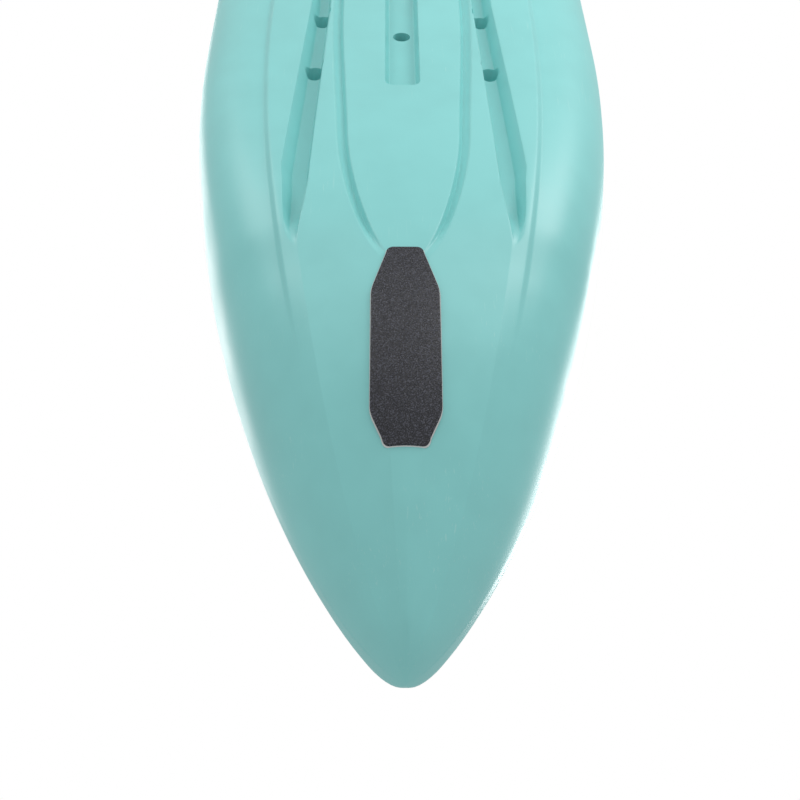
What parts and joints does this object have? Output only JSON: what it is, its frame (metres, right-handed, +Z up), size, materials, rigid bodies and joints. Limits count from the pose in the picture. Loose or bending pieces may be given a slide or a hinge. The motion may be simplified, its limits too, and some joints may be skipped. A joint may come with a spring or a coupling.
{
  "type": "sit-on-top kayak",
  "caption": "Moulded sit-on-top kayak with a grooved flat bottom, scuppers, a glued keel guard, framed seat, hinged bow hatch, foot braces and carry handles.",
  "frame": {"origin": "on the ground plane under the middle of the hull, where the flat centre pad rests", "axes": "+X to the bow, +Y to port, +Z up"},
  "size_m": [3.66, 0.84, 0.6302],
  "materials": {
    "hull_plastic": "moulded polyethylene, soft gloss",
    "guard_plastic": "fine grained, slight sparkle",
    "adhesive_film": "translucent film edge",
    "fitting_plastic": "moulded nylon",
    "lever_plastic": "moulded nylon, spark-eroded grain",
    "seal_rubber": "soft seal",
    "stainless": "stainless",
    "alloy": "anodised tube",
    "dark_alloy": "black anodised",
    "seat_mesh": "open woven mesh",
    "grip_rubber": "ribbed grip",
    "bungee_cord": "braided sheath",
    "buoyancy_foam": "closed-cell foam"
  },
  "bodies": {
    "boat": {"hull": "hull_plastic", "keel_guard": "guard_plastic", "guard_adhesive": "adhesive_film", "hatch_rim": "fitting_plastic", "hatch_gasket": "seal_rubber", "hatch_hinge_pin": "stainless", "day_hatch_ring": "fitting_plastic", "day_hatch_seal": "seal_rubber", "seat_rails": "alloy", "foot_rail_left": "fitting_plastic", "foot_rail_right": "fitting_plastic", "rod_holder_left": "fitting_plastic", "rod_holder_right": "fitting_plastic", "gear_track_left": "dark_alloy", "gear_track_right": "dark_alloy", "handle_mounts": "lever_plastic", "drain_seat": "fitting_plastic", "drain_seal": "seal_rubber", "bungee_eyes": "fitting_plastic", "tank_bungee": "bungee_cord", "foam_bow": "buoyancy_foam", "foam_stern": "buoyancy_foam", "deck_screws": "stainless"},
    "hatch_cover": {"hatch_lid": "fitting_plastic", "latch_pins": "stainless"},
    "latch_left": {"hatch_latch_left": "lever_plastic"},
    "latch_right": {"hatch_latch_right": "lever_plastic"},
    "day_cover": {"day_hatch_lid": "fitting_plastic"},
    "seat_base": {"seat_feet": "fitting_plastic", "seat_base_frame": "alloy", "seat_base_pad": "seat_mesh", "seat_hinge_pins": "stainless"},
    "seat_back": {"seat_back_frame": "alloy", "seat_back_pad": "seat_mesh"},
    "brace_left": {"pedal_left": "lever_plastic"},
    "brace_right": {"pedal_right": "lever_plastic"},
    "handle_bow": {"bow_handle": "grip_rubber"},
    "handle_stern": {"stern_handle": "grip_rubber"},
    "handle_left": {"left_handle": "grip_rubber"},
    "handle_right": {"right_handle": "grip_rubber"},
    "drain_cap": {"drain_plug": "lever_plastic"}
  },
  "joints": [
    {"name": "hatch_hinge", "type": "hinge", "parent": "boat", "child": "hatch_cover", "pos_m": [1.3, 0, 0.318], "axis": [0, 1, 0], "range_deg": [0, 95]},
    {"name": "latch_left_hinge", "type": "hinge", "parent": "hatch_cover", "child": "latch_left", "pos_m": [0.878, 0.07, 0.3233], "axis": [0, 1, 0], "range_deg": [0, 90]},
    {"name": "latch_right_hinge", "type": "hinge", "parent": "hatch_cover", "child": "latch_right", "pos_m": [0.878, -0.07, 0.3233], "axis": [0, 1, 0], "range_deg": [0, 90]},
    {"name": "day_hatch_twist", "type": "hinge", "parent": "boat", "child": "day_cover", "pos_m": [-0.545, 0, 0.315], "axis": [0, 0, 1], "range_deg": [0, 90]},
    {"name": "seat_slide", "type": "slide", "parent": "boat", "child": "seat_base", "axis": [1, 0, 0], "range_m": [-0.04, 0.035]},
    {"name": "seat_back_fold", "type": "hinge", "parent": "seat_base", "child": "seat_back", "pos_m": [-0.33, 0, 0.248], "axis": [0, 1, 0], "range_deg": [-10, 95]},
    {"name": "brace_left_slide", "type": "slide", "parent": "boat", "child": "brace_left", "axis": [1, 0, 0], "range_m": [-0.14, 0.12]},
    {"name": "brace_right_slide", "type": "slide", "parent": "boat", "child": "brace_right", "axis": [1, 0, 0], "range_m": [-0.14, 0.12]},
    {"name": "bow_handle_swing", "type": "hinge", "parent": "boat", "child": "handle_bow", "pos_m": [1.53, 0, 0.37719], "axis": [0, 1, 0], "range_deg": [0, 105]},
    {"name": "stern_handle_swing", "type": "hinge", "parent": "boat", "child": "handle_stern", "pos_m": [-1.6, 0, 0.36128], "axis": [0, -1, 0], "range_deg": [0, 105]},
    {"name": "left_handle_swing", "type": "hinge", "parent": "boat", "child": "handle_left", "pos_m": [-0.24, 0.318, 0.314], "axis": [1, 0, 0], "range_deg": [0, 105]},
    {"name": "right_handle_swing", "type": "hinge", "parent": "boat", "child": "handle_right", "pos_m": [-0.24, -0.318, 0.314], "axis": [-1, 0, 0], "range_deg": [0, 105]},
    {"name": "drain_twist", "type": "hinge", "parent": "boat", "child": "drain_cap", "pos_m": [-1.49, 0, 0.343], "axis": [0, 0, 1], "range_deg": [0, 90]}
  ]
}
